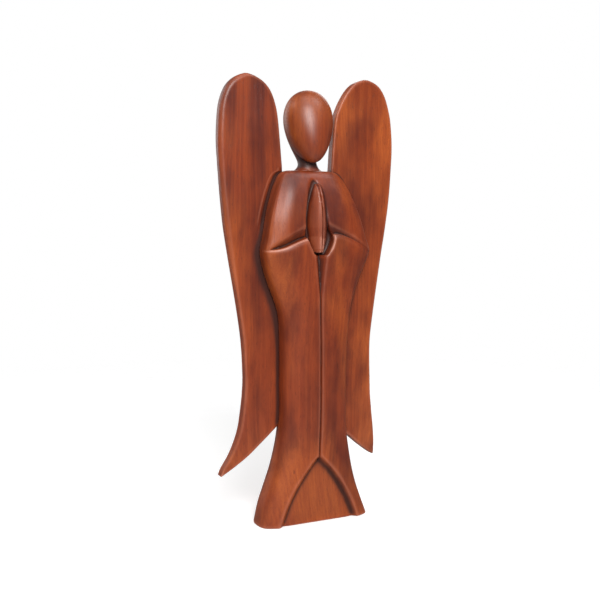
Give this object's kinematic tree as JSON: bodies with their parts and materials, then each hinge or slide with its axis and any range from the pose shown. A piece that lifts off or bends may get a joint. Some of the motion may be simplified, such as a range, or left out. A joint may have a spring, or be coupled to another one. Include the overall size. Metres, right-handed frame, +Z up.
{
  "type": "carved angel figurine",
  "caption": "Free-standing carved wooden winged figure in a long robe with folded hands, a plain egg-shaped head and wing boards glued on at the back.",
  "frame": {"origin": "middle of the flat resting face under the hem of the robe", "axes": "+Z up, -Y the way the figure faces, +X towards the figure's left wing"},
  "size_m": [0.2167, 0.0648, 0.5],
  "materials": {
    "stained_wood": "reddish-brown hardwood, rubbed satin varnish",
    "dowel_wood": "raw hardwood, unfinished"
  },
  "bodies": {
    "root": {"body": "stained_wood", "head": "stained_wood", "wing_right": "stained_wood", "wing_left": "stained_wood", "neck_dowel": "dowel_wood", "wing_dowel_right_upper": "dowel_wood", "wing_dowel_right_middle": "dowel_wood", "wing_dowel_right_lower": "dowel_wood", "wing_dowel_left_upper": "dowel_wood", "wing_dowel_left_middle": "dowel_wood", "wing_dowel_left_lower": "dowel_wood"}
  },
  "joints": []
}
